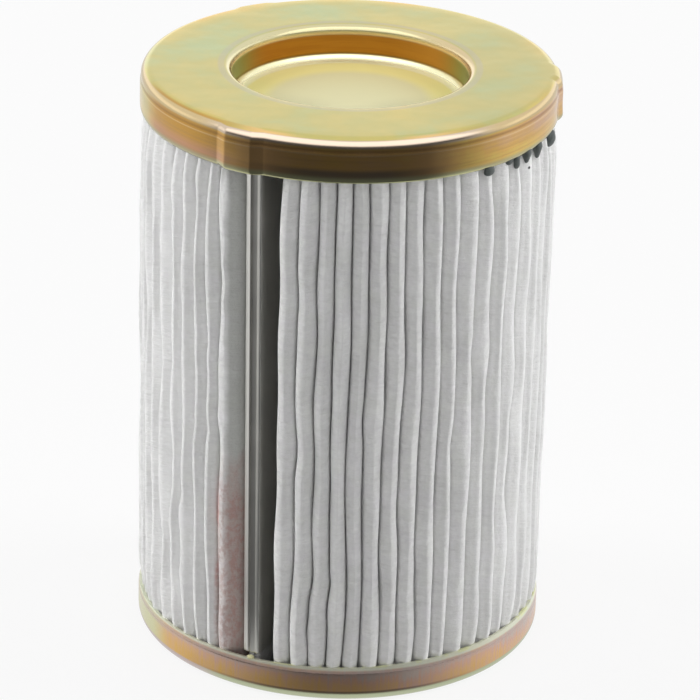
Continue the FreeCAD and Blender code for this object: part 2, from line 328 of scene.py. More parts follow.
def top_film(paint, radius, bearing, z, cloud):
    """Film depth on the top cap: pale on its flat with golden patches at the edge, orange below."""
    degrees = bearing * math.degrees(1)
    turn = abs(degrees)
    drop = HEIGHT - z
    patches = paint.step(paint.noise(paint.turned(bearing, 2.2, 4.0), 1.0, 3.0, 0.5), 0.42, 0.60)
    edge = paint.step(radius, 51.0, 57.5) * (patches * 0.25 + paint.step(turn, 110.0, 150.0) * 0.2)
    flat = 0.19 + cloud * 0.95 + paint.step(turn, 110.0, 40.0) * 0.05 + edge
    low = paint.step(drop, 1.6, 3.6) * paint.step(radius, 55.5, 57.6)
    under = paint.step(drop, 6.0, 10.0)
    left = paint.stretch(degrees, -22.0, -50.0, -120.0, -150.0)
    far_left = paint.stretch(degrees, -60.0, -74.0, -120.0, -150.0)
    right = paint.stretch(degrees, 28.0, 46.0, 120.0, 150.0)
    rings = paint.noise(paint.turned(bearing, 3.0, z * 0.7), 1.0, 3.0, 0.6) - 0.5
    skirt = 0.70 + cloud * 0.45 + rings * 0.20 + right * (0.12 - under * 0.17)
    skirt = skirt + left * under * 0.12 - far_left * 0.30
    return flat + (skirt - flat) * low


def top_dullness(paint, radius, z):
    """Metal and roughness: the film is thicker and duller on the recess's floor and rim."""
    drop = HEIGHT - z
    floor = paint.step(radius, 33.4, 32.3) * paint.step(drop, 3.0, 5.0)
    wall = paint.band(radius, 33.2, 35.0, 0.4) * paint.step(drop, 1.6, 2.6)
    rim = paint.step(radius, 36.2, 35.4) * paint.band(drop, 1.0, 3.3, 0.5)
    return 1.0 - floor * 0.90 - rim * 0.45, 0.15 + wall * 0.18 + floor * 0.22


def top_wear_and_painted_light(paint, colour, radius, bearing, z):
    """Darker shade on the flat's right, tints and painted light on skirt, recess and curled edge."""
    degrees = bearing * math.degrees(1)
    drop = HEIGHT - z
    rings = paint.noise(paint.turned(bearing, 1.5, z * 0.9), 1.0, 3.0, 0.6)
    skirt = paint.step(radius, 57.5, 58.5)
    aside = paint.stretch(degrees, 20.0, 50.0, 110.0, 150.0)
    colour = paint.mix(aside * (1 - skirt) * 0.25, colour, (0.42, 0.39, 0.16))
    colour = skirt_tints_and_painted_light(paint, colour, skirt, degrees, drop, rings)
    colour = corner_shade(paint, colour, radius, degrees, drop)
    colour = recess_tints_and_painted_light(paint, colour, radius, degrees, drop, rings)
    # Greenish curled edge, painted paler across the front as a painted reflection.
    curl = paint.step(TOP_SKIRT - drop, 2.4, 0.8) * paint.step(radius, 55.0, 57.0)
    in_front = paint.step(abs(degrees), 45.0, 25.0)
    curl_colour = paint.mix(in_front, (0.42, 0.43, 0.27), (0.68, 0.76, 0.46))
    return paint.mix(curl * 0.8, colour, curl_colour)


def skirt_tints_and_painted_light(paint, colour, skirt, degrees, drop, rings):
    """Browner left and streaks, with painted light: lighter front sides, dark low front, two-toned neck.
    """
    turn = abs(degrees)
    left = paint.stretch(degrees, -22.0, -46.0, -62.0, -76.0) * skirt
    left_colour = paint.mix(paint.step(drop, 7.0, 10.5), (0.54, 0.29, 0.06), (0.55, 0.29, 0.17))
    colour = paint.mix(left * 0.78, colour, left_colour)
    streaks = paint.step(rings, 0.42, 0.62)
    colour = paint.mix(streaks * skirt * 0.25, colour, (0.44, 0.28, 0.13))
    # Painted reflection: the skirt made light orange at the front sides.
    beside = paint.band(turn, 16.0, 28.0, 6.0) * skirt
    colour = paint.mix(beside * 0.7, colour, (0.98, 0.60, 0.28))
    # Painted shade: the low front of the skirt darkened as a painted reflection of a dark floor.
    under = paint.band(drop, 9.2, 11.9, 0.9) * paint.step(turn, 32.0, 8.0)
    colour = paint.mix(under * skirt * 0.75, colour, (0.22, 0.20, 0.17))
    # Neck line of painted light: painted shade in its hollow, a painted highlight along its crest.
    neck = paint.band(drop, 3.5, 4.2, 0.35) * skirt
    colour = paint.mix(neck * 0.55, colour, (0.34, 0.18, 0.06))
    crest = paint.band(drop, 4.7, 4.9, 0.22) * skirt
    return paint.mix(crest * 0.50, colour, (0.92, 0.72, 0.48))


def corner_shade(paint, colour, radius, degrees, drop):
    """Rubbed corner between the flat and the skirt."""
    corner = paint.stretch(drop, 0.6, 0.9, 2.4, 3.2) * paint.step(radius, 55.5, 56.5)
    aside = paint.step(abs(degrees), 32.0, 46.0)
    return paint.mix(corner, colour, paint.mix(aside, (0.64, 0.52, 0.41), (0.63, 0.49, 0.27)))


def recess_tints_and_painted_light(paint, colour, radius, degrees, drop, rings):
    """Grey ring and pale rim round the recess, golden floor and brown wall, with painted highlights and
    shade.
    """
    turn = abs(degrees)
    rise = RECESS_DEPTH - drop
    ring = paint.band(radius, 36.0, 37.9, 0.4) * paint.step(drop, 0.6, 0.2)
    colour = paint.mix(ring * 0.36, colour, (0.48, 0.44, 0.38))
    # Pale film on a half-dull rim, with a golden band under it on the wall's top: partly painted
    # highlight.
    rim = paint.band(radius, 33.5, 35.5, 0.4) * paint.step(drop, 3.6, 3.0)
    rim_colour = paint.mix(paint.band(degrees, 60.0, 140.0, 20.0), (0.72, 0.66, 0.42), (0.74, 0.58, 0.36))
    rim_colour = paint.mix(paint.step(drop, 1.6, 2.4), rim_colour, (0.84, 0.56, 0.26))
    colour = paint.mix(rim * 0.8, colour, rim_colour)

    # Film colours on a floor with almost no metal; its back band is a painted reflection, its near-white
    # foot a painted highlight.
    inside = paint.step(drop, 2.3, 3.1) * paint.step(radius, 35.6, 34.6)
    front = paint.step(turn, 110.0, 60.0)
    golden = paint.mix(front * paint.step(radius, 3.0, 18.0), (0.82, 0.785, 0.46), (0.66, 0.64, 0.37))
    golden = paint.mix(paint.step(radius, 21.0, 26.0) * (1 - front), golden, (0.97, 0.91, 0.38))
    golden = paint.mix(paint.step(radius, 30.2, 31.4), golden, (0.98, 0.95, 0.62))
    colour = paint.mix(inside, colour, golden)

    wall = paint.step(rise, 1.5, 2.1) * inside * paint.step(radius, 32.9, 33.5)
    brown = paint.mix(paint.step(rings, 0.40, 0.66) * 0.5, (0.41, 0.165, 0.024), (0.50, 0.22, 0.03))
    brown = paint.mix(paint.stretch(degrees, 0.0, 1.0, 130.0, 164.0) * 0.6, brown, (0.56, 0.28, 0.06))
    brown = paint.mix(paint.step(turn, 135.0, 105.0), brown, (0.28, 0.31, 0.09))
    colour = paint.mix(wall, colour, brown)
    # Painted shade in the crease where the wall meets the floor.
    painted_seat_shade = paint.band(rise, 1.7, 2.4, 0.25) * inside
    return paint.mix(painted_seat_shade * 0.55, colour, (0.20, 0.13, 0.03))


def bottom_film(paint, radius, bearing, z, cloud):
    """Film depth on the bottom cap: mauve under the lip, more golden lower down and to the left."""
    left = paint.stretch(bearing * math.degrees(1), -34.0, -48.0, -120.0, -150.0)
    return 0.80 + cloud * 0.45 + paint.step(z, 4.5, 8.5) * 0.12 - left * 0.07


def bottom_dullness(paint, radius, z):
    """Metal and roughness: a scuffed lip over an even skirt."""
    lip = paint.step(z, BOTTOM_SKIRT - LIP_HEIGHT, BOTTOM_SKIRT - LIP_HEIGHT + 0.8)
    return 1.0 - lip * 0.45, 0.22 + lip * 0.12


def bottom_tints_and_shade(paint, colour, radius, bearing, z):
    """Greener left, green-grey lip over a mauve bend, and a painted shade line over the pale low corner.
    """
    degrees = bearing * math.degrees(1)
    skirt = paint.step(radius, 50.0, 57.0)
    far_left = paint.stretch(degrees, -54.0, -66.0, -100.0, -140.0) * skirt
    colour = paint.mix(far_left * 0.9, colour, (0.66, 0.67, 0.40))
    lip = BOTTOM_SKIRT - LIP_HEIGHT
    bend = paint.band(z, lip - 0.6, lip + 1.0, 0.5)
    colour = paint.mix(bend * 0.6, colour, (0.56, 0.45, 0.41))
    rim = paint.step(z, lip + 0.9, lip + 1.6)
    colour = paint.mix(rim * 0.85, colour, (0.80, 0.84, 0.68))
    edge = paint.step(z, BOTTOM_SKIRT - 0.4, BOTTOM_SKIRT - 0.1)
    glued = paint.noise(paint.turned(bearing, 9.0, 0.0), 1.0, 3.0, 0.6)
    colour = paint.mix(edge * paint.step(glued, 0.50, 0.62) * 0.7, colour, (0.80, 0.82, 0.42))
    low = paint.step(z, 3.3, 2.6) * skirt
    pinker = paint.stretch(degrees, -32.0, -44.0, -100.0, -140.0)
    colour = paint.mix(low, colour, paint.mix(pinker, (0.51, 0.55, 0.37), (0.60, 0.50, 0.47)))
    # Painted shade across the front only: a dark line where the corner mirrors the shaded floor under it.
    line = paint.band(z, 2.9, 3.5, 0.2) * paint.step(abs(degrees), 48.0, 14.0)
    return paint.mix(line * 0.7, colour, (0.17, 0.14, 0.12))


def seam_shade_and_stain(paint, colour, radius, bearing, z):
    """Painted shade behind the folded pleat and in the seam, and the pink stain beside the clip."""
    degrees = bearing * math.degrees(1)
    arc = bearing * SKIRT_RADIUS
    crest = PACK_END_RADIUS + PACK_BULGE - paint.step(z, 25.0, 11.0) * 1.1
    # Painted shade on the folded pleat's face that falls away to the clip.
    painted_fold_shade = paint.step(crest - radius, 0.05, 0.9) * paint.band(degrees, -36.5, -28.0, 0.4)
    colour = paint.mix(painted_fold_shade * 0.55, colour, (0.30, 0.31, 0.28))
    # Painted shade deep in the seam beside the clip.
    painted_seam_shade = paint.step(57.6 - radius, 0.0, 1.2) * paint.band(degrees, -25.5, -17.5, 0.5)
    colour = paint.mix(painted_seam_shade * 0.10, colour, (0.20, 0.20, 0.18))
    blot = paint.noise(paint.vector(arc * 0.35, 0.0, z * 0.12), 1.0, 4.0, 0.55)
    beside = paint.band(degrees, -37.3, -27.5, 0.7)
    stain = beside * paint.step(z + (blot - 0.5) * 30.0, 78.0, 56.0)
    specks = paint.step(paint.noise(paint.vector(arc, radius, z * 0.7), 0.75, 4.0, 0.65), 0.40, 0.62)
    depth = 0.20 + specks * 0.34 + paint.step(degrees, -35.0, -31.5) * 0.28
    colour = paint.mix(stain * depth, colour, (0.44, 0.26, 0.23))
    red = paint.band(degrees, -37.2, -35.6, 0.5) * paint.band(z, 24.0, 62.0, 5.0)
    return paint.mix(red * paint.step(blot, 0.42, 0.62) * 0.65, colour, (0.55, 0.16, 0.14))


def dark_speck(paint, colour, bearing, z):
    """One speck of dirt under the top cap's right side."""
    across = bearing * SKIRT_RADIUS - math.radians(SPECK_BEARING) * SKIRT_RADIUS
    distance = (across ** 2 + (z - SPECK_HEIGHT) ** 2) ** 0.5
    return paint.mix(paint.step(distance, 0.60, 0.20), colour, (0.03, 0.03, 0.03))


def fleece_finish():
    """Pale grey non-woven fleece with fine crosswise fibres, and painted light whitening the pack's
    sides.
    """
    material, paint, shader = new_finish("pale_fleece")
    x, y, z = paint.place()
    radius, bearing = around(x, y)
    here = paint.vector(x, y, z)
    fibres = paint.noise(paint.turned(bearing, 30.0, radius * 0.5 + z * 3.2), 1.0, 5.0, 0.62)
    creases = paint.noise(paint.turned(bearing, 10.0, radius * 0.1 + z * 0.75), 1.0, 3.0, 0.5)
    mottle = paint.noise(here, 0.55, 5.0, 0.62)
    patches = paint.noise(here, 0.07, 3.0, 0.5)
    tone = 0.5 + (fibres - 0.5) * 0.55 + (creases - 0.5) * 0.5
    tone = tone + (mottle - 0.5) * 0.7 + (patches - 0.5) * 0.5
    colour = paint.mix(tone.clamped(), (0.60, 0.600, 0.592), (0.88, 0.880, 0.876))
    tinge = paint.noise(paint.vector(x + 70.0, y, z), 0.16, 2.0, 0.5)
    colour = paint.mix(paint.step(tinge, 0.52, 0.66) * 0.20, colour, (0.74, 0.71, 0.76))
    colour = paint.mix(paint.step(tinge, 0.48, 0.34) * 0.20, colour, (0.74, 0.76, 0.70))
    colour = seam_shade_and_stain(paint, colour, radius, bearing, z)
    # Painted light: the fleece made whiter towards the pack's sides, where the side light falls.
    aside = paint.step(abs(bearing * math.degrees(1)), 32.0, 62.0)
    colour = paint.mix(aside * 0.5, colour, (0.97, 0.97, 0.965))
    colour = dark_speck(paint, colour, bearing, z)
    paint.feed(shader.inputs["Base Color"], colour)
    shader.inputs["Roughness"].default_value = 0.95
    shader.inputs["Sheen Weight"].default_value = 0.15
    shader.inputs["Specular IOR Level"].default_value = 0.12
    relief = paint.bump(mottle, 0.30)
    relief = paint.bump(creases, 0.35, normal=relief)
    relief = paint.bump(fibres, 0.12, normal=relief)
    paint.feed(shader.inputs["Normal"], relief)
    return material


def strip_steel_finish(name, shade, roughness):
    """Plain rolled strip with faint lengthwise lines, and painted shade where it runs in behind the
    clip's nose.
    """
    material, paint, shader = new_finish(name)
    x, y, z = paint.place()
    radius, bearing = around(x, y)
    arc = bearing * SKIRT_RADIUS
    lines = paint.noise(paint.vector(arc * 3.0, radius * 3.0, z * 0.03), 1.0, 4.0, 0.6)
    dull = paint.noise(paint.vector(x, y, z), 0.12, 4.0, 0.6)
    tone = (lines * 0.5 + dull * 0.5).clamped()
    dark = tuple(0.72 * level for level in shade)
    colour = paint.mix(tone, dark, shade)
    # Painted shade deeper than the clip's nose; the core tube lies wholly in it.
    behind = paint.step(radius, CLIP_NOSE - 0.8, CLIP_NOSE - 2.2)
    colour = paint.mix(behind * 0.2, colour, (0.14, 0.14, 0.12))
    paint.feed(shader.inputs["Base Color"], colour)
    shader.inputs["Metallic"].default_value = 1.0
    paint.feed(shader.inputs["Roughness"], roughness + dull * 0.18)
    paint.feed(shader.inputs["Normal"], paint.bump(lines, 0.02))
    return material


def compound_finish(name, dark, pale, roughness):
    """Set adhesive: uneven in colour, with a soft skin."""
    material, paint, shader = new_finish(name)
    x, y, z = paint.place()
    blotch = paint.noise(paint.vector(x, y, z), 0.9, 4.0, 0.6)
    paint.feed(shader.inputs["Base Color"], paint.mix(blotch, dark, pale))
    paint.feed(shader.inputs["Roughness"], roughness + blotch * 0.2)
    paint.feed(shader.inputs["Normal"], paint.bump(blotch, 0.15))
    return material


def rubber_finish():
    """Moulded black rubber with a bloom."""
    material, paint, shader = new_finish("black_rubber")
    x, y, z = paint.place()
    bloom = paint.noise(paint.vector(x, y, z), 0.3, 5.0, 0.65)
    paint.feed(shader.inputs["Base Color"], paint.mix(bloom, (0.012, 0.012, 0.012), (0.05, 0.05, 0.048)))
    paint.feed(shader.inputs["Roughness"], 0.45 + bloom * 0.25)
    paint.feed(shader.inputs["Normal"], paint.bump(bloom, 0.05))
    return material


# Mesh helpers

def make_piece(name, points, faces, material, sharp=math.radians(40)):
    """An object from points in millimetres, closed up, smooth, and sharp at real edges."""
    mesh = bpy.data.meshes.new(name)
    mesh.from_pydata([tuple(c * MM for c in p) for p in points], [], faces)
    shape = bmesh.new()
    shape.from_mesh(mesh)
    bmesh.ops.remove_doubles(shape, verts=shape.verts, dist=1e-7)
    bmesh.ops.recalc_face_normals(shape, faces=shape.faces)
    for face in shape.faces:
        face.smooth = True
    for edge in shape.edges:
        edge.smooth = len(edge.link_faces) == 2 and edge.calc_face_angle() < sharp
    shape.to_mesh(mesh)
    shape.free()
    mesh.materials.append(material)
    piece = bpy.data.objects.new(name, mesh)
    bpy.context.scene.collection.objects.link(piece)
    return piece


def install(piece, slot, *nodes):
    """Puts a piece on the cartridge, in place of the plain nodes it stands for."""
    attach(piece, "root")
    if nodes:
        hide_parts(*nodes)
    return piece


def on_circle(centre, radius, angle):
    return (centre[0] + radius * math.cos(angle), centre[1] + radius * math.sin(angle))


def bent_line(bends, shift, step=math.radians(7.0)):
    """Points along a sheet's face that runs round the bends, each (x, y, radius, turn)."""
    moved = [(x, y, radius - turn * shift, turn) for x, y, radius, turn in bends]
    moved[0] = (*moved[0][:2], -shift, LEFT)
    moved[-1] = (*moved[-1][:2], -shift, LEFT)
    runs = []
    for first, second in zip(moved, moved[1:]):
        dx, dy = second[0] - first[0], second[1] - first[1]
        offset = second[3] * second[2] - first[3] * first[2]
        runs.append(math.atan2(dy, dx) - math.asin(offset / math.hypot(dx, dy)))
    points = [on_circle(moved[0][:2], moved[0][3] * moved[0][2], runs[0] - math.pi / 2)]
    for (x, y, radius, turn), arriving, leaving in zip(moved[1:-1], runs, runs[1:]):
        swing = (leaving - arriving) % (2 * math.pi)
        if turn == RIGHT:
            swing -= 2 * math.pi
        count = max(2, math.ceil(abs(swing) / step))
        for i in range(count + 1):
            points.append(on_circle((x, y), turn * radius, arriving + swing * i / count - math.pi / 2))
    points.append(on_circle(moved[-1][:2], moved[-1][3] * moved[-1][2], runs[-1] - math.pi / 2))
    return points


def divided(points, longest):
    """The same line with its long straight runs divided."""
    line = [points[0]]
    for point in points[1:]:
        last = line[-1]
        count = max(1, math.ceil(math.dist(last, point) / longest))
        for i in range(1, count + 1):
            share = i / count
            line.append((last[0] + (point[0] - last[0]) * share, last[1] + (point[1] - last[1]) * share))
    return line


def waves(rng, count, shortest, longest, height):
    """Random sine waves (cycles per millimetre, phase, size) whose sizes add to height."""
    lengths = rng.uniform(shortest, longest, count)
    sizes = rng.uniform(0.5, 1.0, count)
    return list(zip(1 / lengths, rng.uniform(0, 2 * math.pi, count), height * sizes / sizes.sum()))


def wave_sum(parts, z):
    return sum(size * np.sin(2 * math.pi * z * rate + phase) for rate, phase, size in parts)


def wander(rng, z, count, shortest, longest, height):
    """A random smooth line along z that stays within height."""
    return wave_sum(waves(rng, count, shortest, longest, height), z)


def kinks(rng, z, most, height):
    """A few short sideways kinks along z."""
    line = np.zeros_like(z)
    for _ in range(rng.integers(0, most + 1)):
        middle, reach = rng.uniform(20.0, 160.0), rng.uniform(3.0, 7.5)
        line += rng.uniform(-height, height) * np.exp(-((z - middle) / reach) ** 2)
    return line


# Caps

def skirt_bends():
    """Corner, neck, skirt and curl of the top cap."""
    neck = SKIRT_RADIUS - NECK_INSET
    step = NECK_EASE * math.sqrt(NECK_INSET * (2 * (NECK_HOLLOW + NECK_CREST) - NECK_INSET))
    hollow = HEIGHT - TOP_CORNER - NECK_STRAIGHT
    low = HEIGHT - TOP_SKIRT
    drop = CURL_RADIUS * math.sin(CURL_ANGLE) + CURL_EDGE * math.cos(CURL_ANGLE)
    reach = CURL_RADIUS * (1 - math.cos(CURL_ANGLE)) + CURL_EDGE * math.sin(CURL_ANGLE)
    return [
        (neck - TOP_CORNER, HEIGHT - TOP_CORNER, TOP_CORNER, RIGHT),
        (neck + NECK_HOLLOW, hollow, NECK_HOLLOW, LEFT),
        (SKIRT_RADIUS - NECK_CREST, hollow - step, NECK_CREST, RIGHT),
        (SKIRT_RADIUS - CURL_RADIUS, low + drop, CURL_RADIUS, RIGHT),
        (SKIRT_RADIUS - reach, low, 0.0, LEFT),
    ]


def lug_rise(bearing):
    """How far the skirt is pressed out at a bearing, from 0 to 1."""
    nearest = min(abs((bearing - lug + 180) % 360 - 180) for lug in LUG_BEARINGS)
    slope = (LUG_BASE - nearest) / (LUG_BASE - LUG_CREST)
    share = min(1.0, max(0.0, slope))
    eased = share * share * (3 - 2 * share)
    return 0.75 * share + 0.25 * eased


def cap_bearings():
    """Bearings of a cap's sections, closer together on the lugs."""
    bearings = set(round(i * 1.5, 3) for i in range(240))
    for lug in LUG_BEARINGS:
        for i in range(-26, 27):
            bearings.add(round((lug + i * 0.32) % 360, 3))
    return sorted(bearings)


def revolved(profile, bearings, place):
    """Points and faces of a closed profile, set at each bearing by place(radius, height, bearing)."""
    points = [place(radius, height, bearing) for bearing in bearings for radius, height in profile]
    size, turns = len(profile), len(bearings)
    faces = []
    for i in range(turns):
        here, there = i * size, (i + 1) % turns * size
        for j in range(size):
            following = (j + 1) % size
            faces.append((here + j, there + j, there + following, here + following))
    return points, faces


def at_bearing(radius, height, bearing):
    angle = math.radians(bearing)
    return (radius * math.sin(angle), -radius * math.cos(angle), height)


def top_cap(material):
    """Pressed top cap with its recess, neck step, lugs and curled edge."""
    floor = HEIGHT - RECESS_DEPTH
    bends = [
        (0.0, floor, 0.0, LEFT),
        (RECESS_RADIUS - RECESS_FLOOR, floor + RECESS_FLOOR, RECESS_FLOOR, LEFT),
        (RECESS_RADIUS + RECESS_RIM, HEIGHT - RECESS_RIM, RECESS_RIM, RIGHT),
    ] + skirt_bends()
    profile = divided(bent_line(bends, 0.0), 3.0)
    profile += reversed(divided(bent_line(bends, -SHEET), 6.0))
    shoulder = SKIRT_RADIUS - NECK_INSET - 2 * TOP_CORNER
    rng = np.random.default_rng(SEED)
    ripples = [(n, rng.uniform(0, 2 * math.pi)) for n in (3, 5, 8, 13)]

    def place(radius, height, bearing):
        out = min(1.0, max(0.0, (radius - shoulder) / TOP_CORNER))
        turn = math.radians(bearing)
        ripple = sum(math.sin(n * turn + phase) for n, phase in ripples) * 0.02
        low = max(0.0, 1 - (height - HEIGHT + TOP_SKIRT) / 4.0)
        flare = LUG_HEIGHT + 0.25 * min(1.0, low)
        return at_bearing(radius + out * (lug_rise(bearing) * flare + ripple), height, bearing)

    points, faces = revolved(profile, cap_bearings(), place)
    return make_piece("top_cap_shell", points, faces, material)


def bottom_cap(material):
    """Pressed bottom cap: pan, crimped lip and turned-in collar."""
    bends = [
        (SKIRT_RADIUS - LIP_INSET, BOTTOM_SKIRT, 0.0, LEFT),
        (SKIRT_RADIUS - LIP_BEND, BOTTOM_SKIRT - LIP_HEIGHT, LIP_BEND, RIGHT),
        (SKIRT_RADIUS - BOTTOM_CORNER, BOTTOM_CORNER, BOTTOM_CORNER, RIGHT),
        (COLLAR_RADIUS + COLLAR_BEND, COLLAR_BEND, COLLAR_BEND, RIGHT),
        (COLLAR_RADIUS, COLLAR_HEIGHT, 0.0, LEFT),
    ]
    profile = divided(bent_line(bends, 0.0), 3.0)
    profile += reversed(divided(bent_line(bends, -SHEET), 6.0))
    rng = np.random.default_rng(SEED + 1)
    ripples = [(n, rng.uniform(0, 2 * math.pi)) for n in (4, 7, 11, 17)]

    def place(radius, height, bearing):
        turn = math.radians(bearing)
        rise = max(0.0, (height - BOTTOM_SKIRT + 3.0) / 3.0) if radius > COLLAR_RADIUS + 20 else 0.0
        ripple = sum(math.sin(n * turn + phase) for n, phase in ripples) * 0.03
        tilt = 0.6 * math.sin(turn)
        return at_bearing(radius + rise * ripple, height + rise * (ripple + tilt), bearing)

    bearings = [i * 1.5 for i in range(240)]
    points, faces = revolved(profile, bearings, place)
    return make_piece("bottom_cap_shell", points, faces, material)


# Fleece

def side_share(bearing):
    """-1 on the pack's left flank and 1 on its right, with an even change across its front."""
    if bearing < -180.0:
        bearing += 360.0
    return math.tanh((bearing - TURN_OVER) / TURN_OVER_WIDTH)


def seam_bearing(z):
    """The seam stands a little askew: it drifts to the right on its way down."""
    return SEAM_BEARING + SEAM_LEAN * (0.5 - z / HEIGHT)


def pleat_borders(rng, z):
    """Bearing of every gap between pleats at each height, from the seam's close side round."""
    span = 360.0 - (OPEN_BORDER - CLOSE_BORDER)
    widths = rng.uniform(*WIDTH_SHARES, PLEATS)
    widths[0] = WIDE_PLEAT * PLEATS / span
    widths[1:] *= (PLEATS - widths[0]) / widths[1:].sum()
    edges = CLOSE_BORDER - np.concatenate([[0.0], np.cumsum(widths)]) * span / PLEATS
    shared = [(rng.integers(2, 9), part) for part in waves(rng, 4, 60.0, 150.0, 0.50)]
    borders = []
    for index, edge in enumerate(edges):
        lean = sum(wave_sum([(rate, phase + turns * math.radians(edge), size)], z)
                   for turns, (rate, phase, size) in shared)
        loose = 0.75 + 0.75 * side_share(edge) ** 2
        own = wander(rng, z, 4, 28.0, 80.0, 0.50 * loose) + kinks(rng, z, 6, 0.70 * loose)
        hold = 0.25 if index in (0, PLEATS) else 1.0
        askew = (seam_bearing(z) - SEAM_BEARING) * max(0.0, 1 - index / LEAN_SPREAD)
        borders.append(edge + askew + np.degrees((lean + own) * hold / SKIRT_RADIUS))
    return np.array(borders)


def fullness(z):
    """0 where a cap pinches the pleats, and 1 between the caps."""
    low = np.clip((z - BOTTOM_SKIRT) / LOW_PINCH + LOW_PINCH_START, 0.0, 1.0)
    high = np.clip((HEIGHT - TOP_SKIRT - z) / HIGH_PINCH + HIGH_PINCH_START, 0.0, 1.0)
    share = low * high
    return share * (2 - share)


def rounded_edge(border, gap, radius, bend, side, per_mm):
    """Points of a pleat's rounded edge, from the gap's closed foot up to its crest."""
    foot = border + side * min(gap, 0.06) * per_mm
    edge = border + side * gap * per_mm
    points = [(foot, radius - bend - 1.3)]
    for turn in (8.0, 34.0, 58.0, 82.0):
        angle = math.radians(turn)
        points.append((edge + side * bend * (1 - math.cos(angle)) * per_mm,
                       radius - bend * (1 - math.sin(angle))))
    return points


def pleat_section(left, right, crest, tilt, gap_left, gap_right, crown):
    """One pleat's outline at one height, as (bearing, radius) from its left root to its right.

    Left and right are bearings. Its crest is a slack roof with a tight bend at each side.
    """
    per_mm = math.degrees(1.0 / crest)
    width = (right - left) / per_mm - gap_left - gap_right
    bend = min(EDGE_BEND, 0.36 * width)
    low_left, low_right = crest - tilt, crest + tilt
    start = left + gap_left * per_mm
    outline = [(left + ROOT_HALF_GAP, ROOT_RADIUS)]
    outline += rounded_edge(left, gap_left, low_left, bend, 1, per_mm)
    for share in (0.2, 0.5, 0.8):
        middle = start + (bend + (width - 2 * bend) * share) * per_mm
        outline.append((middle, low_left + (low_right - low_left) * share
                        + crown * math.sin(math.pi * share)))
    outline += reversed(rounded_edge(right, gap_right, low_right, bend, -1, per_mm))
    return outline + [(right - ROOT_HALF_GAP, ROOT_RADIUS)]


def seam_pleat_section(left, right, crest, fold, gap_left, crown):
    """The wide pleat beside the seam clip: its crest folds over and falls away to the clip."""
    per_mm = math.degrees(1.0 / crest)
    start = left + gap_left * per_mm
    bend = min(EDGE_BEND, (fold - start) / per_mm * 0.7)
    outline = [(left + ROOT_HALF_GAP, ROOT_RADIUS)]
    outline += rounded_edge(left, gap_left, crest, bend, 1, per_mm)
    for share in (0.3, 0.65):
        outline.append((start + bend * per_mm + (fold - start - bend * per_mm) * share,
                        crest + 0.3 * crown * math.sin(math.pi * share)))
    return outline + [
        (fold - 0.12, crest - 0.02),
        (fold + 0.22, crest - 0.30),
        (fold + (right - fold) * 0.45, crest - 1.5),
        (right - 0.60, crest - 2.9),
        (right - 0.30, crest - 4.2),
        (right - 0.25, crest - 9.0),
        (right - ROOT_HALF_GAP, ROOT_RADIUS),
    ]


def pack_outlines(heights):
    """The fleece's outer face at each height, from one free end round to the other.

    Each pleat leans over the next one towards the front, so its far edge stands proud.
    """
    rng = np.random.default_rng(SEED + 2)
    z = np.array(heights)
    borders = pleat_borders(rng, z)
    full = fullness(z)
    base = PACK_END_RADIUS + PACK_BULGE * full
    seam = seam_bearing(z)
    rows = [[(middle - aside, radius) for aside, radius in FREE_END] for middle in seam]
    fold = CLOSE_BORDER - WIDE_PLEAT * 0.60 + seam - SEAM_BEARING + np.degrees(
        (wander(rng, z, 4, 25.0, 70.0, 0.75) + wander(rng, z, 3, 7.0, 16.0, 0.45)) / SKIRT_RADIUS)
    for index in range(PLEATS):
        lean = side_share(borders[index][0])
        proud = np.minimum(0.30, rng.normal(0.0, 0.16) + wander(rng, z, 3, 30.0, 90.0, 0.35))
        tilt = SHINGLE * lean + rng.normal(0.0, 0.10) + wander(rng, z, 3, 30.0, 80.0, 0.26)
        tilt = tilt * (0.5 + 0.5 * full)
        proud = proud - 0.25 * abs(lean)
        crown = CROWN + wander(rng, z, 2, 20.0, 60.0, 0.14)
        near, far = NEAR_GAP + 0.06 * abs(lean), FAR_GAP
        gap_left, gap_right = (near, far) if lean > 0 else (far, near)
        gap_left = np.clip(gap_left + wander(rng, z, 3, 20.0, 70.0, 0.24), *GAP_LIMITS)
        gap_right = np.clip(gap_right + wander(rng, z, 3, 20.0, 70.0, 0.24), *GAP_LIMITS)
        for row in range(len(heights)):
            left, right = borders[index + 1][row], borders[index][row]
            crest = base[row] + proud[row]
            if index == 0:
                section = seam_pleat_section(left, right, base[row], fold[row], gap_left[row], crown[row])
            else:
                section = pleat_section(left, right, crest, tilt[row],
                                        gap_left[row], gap_right[row], crown[row])
            rows[row] += reversed(section)
    for row, middle in zip(rows, seam - 360.0):
        row += [(middle + aside, radius) for aside, radius in reversed(FREE_END)]
    return rows


def inner_outline(outline):
    """The fleece's other face: the outline moved inwards by its thickness."""
    flat = [(r * math.sin(math.radians(b)), -r * math.cos(math.radians(b))) for b, r in outline]
    moved = []
    for i, (x, y) in enumerate(flat):
        before, after = flat[max(0, i - 1)], flat[min(len(flat) - 1, i + 1)]
        dx, dy = after[0] - before[0], after[1] - before[1]
        length = math.hypot(dx, dy)
        moved.append((x + dy / length * FLEECE, y - dx / length * FLEECE))
    return moved


